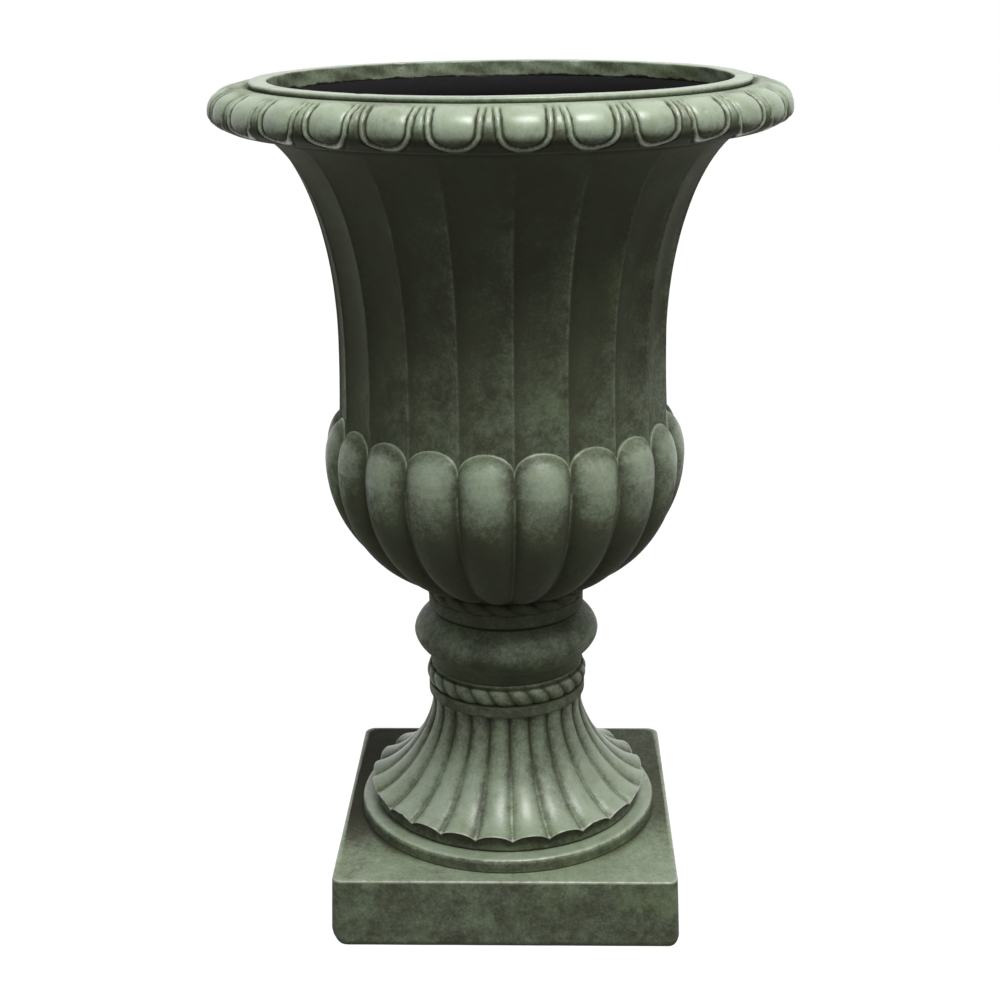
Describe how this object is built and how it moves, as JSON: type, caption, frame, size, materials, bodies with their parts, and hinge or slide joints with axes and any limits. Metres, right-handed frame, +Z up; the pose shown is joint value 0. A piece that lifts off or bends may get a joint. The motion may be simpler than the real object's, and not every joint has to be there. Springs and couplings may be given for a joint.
{
  "type": "urn planter",
  "caption": "Tall garden urn planter: egg-and-dart rim, fluted throat, lobed bowl, ribbed foot and square plinth in weathered green cast stone, drained through a bung hole.",
  "frame": {"origin": "on the ground under the urn's axis, at the middle of the plinth", "axes": "+Z up along the urn's axis, -Y towards the front face of the plinth, +X to the right of that face"},
  "size_m": [0.5192, 0.5172, 0.7871],
  "materials": {
    "cast_stone": "aged green, dry-brushed on the high points",
    "zinc_steel": "zinc plated",
    "rubber": "matt black"
  },
  "bodies": {
    "urn": {"plinth": "cast_stone", "foot": "cast_stone", "knop": "cast_stone", "bowl": "cast_stone", "tie_rod": "zinc_steel", "bowl_seal": "rubber", "bowl_washer": "zinc_steel", "bowl_nut": "zinc_steel", "bridge_bar": "zinc_steel", "bridge_washer": "zinc_steel", "bridge_nut": "zinc_steel", "lock_nut": "zinc_steel"},
    "bung": {"drain_bung": "rubber"}
  },
  "joints": [
    {"name": "bung_pull", "type": "slide", "parent": "urn", "child": "bung", "axis": [0, 0, 1], "range_m": [0, 0.06]}
  ]
}
